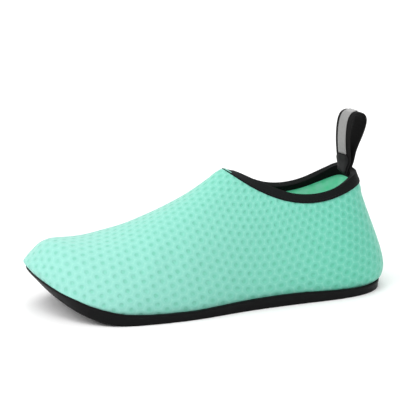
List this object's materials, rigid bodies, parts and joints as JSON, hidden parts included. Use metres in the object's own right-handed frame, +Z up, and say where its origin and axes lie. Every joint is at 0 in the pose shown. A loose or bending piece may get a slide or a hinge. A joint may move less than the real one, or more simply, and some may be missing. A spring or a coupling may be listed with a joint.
{
  "type": "water shoe",
  "caption": "Slip-on water shoe for the left foot: stretch-fabric upper with bound collar and heel pull loop, in a moulded rubber cup sole.",
  "frame": {"origin": "on the floor, under the middle of the shoe's box", "axes": "+Z up, +X towards the toe, +Y towards the wearer's left, the shoe's outer side"},
  "size_m": [0.2416, 0.092, 0.1188],
  "materials": {
    "upper": "dimpled stretch knit, mint",
    "outsole": "satin black moulded rubber",
    "insole": "matt dark foam sheet with a knit face",
    "collar_binding": "matt black elastic tape",
    "pull_loop": "black woven webbing",
    "reflective_stripe": "grey reflective film",
    "loop_patch": "matt black fused patch"
  },
  "bodies": {
    "root": {"upper": "upper", "outsole": "outsole", "insole": "insole", "collar_binding": "collar_binding", "pull_loop": "pull_loop", "reflective_stripe": "reflective_stripe", "loop_patch": "loop_patch"}
  },
  "joints": []
}
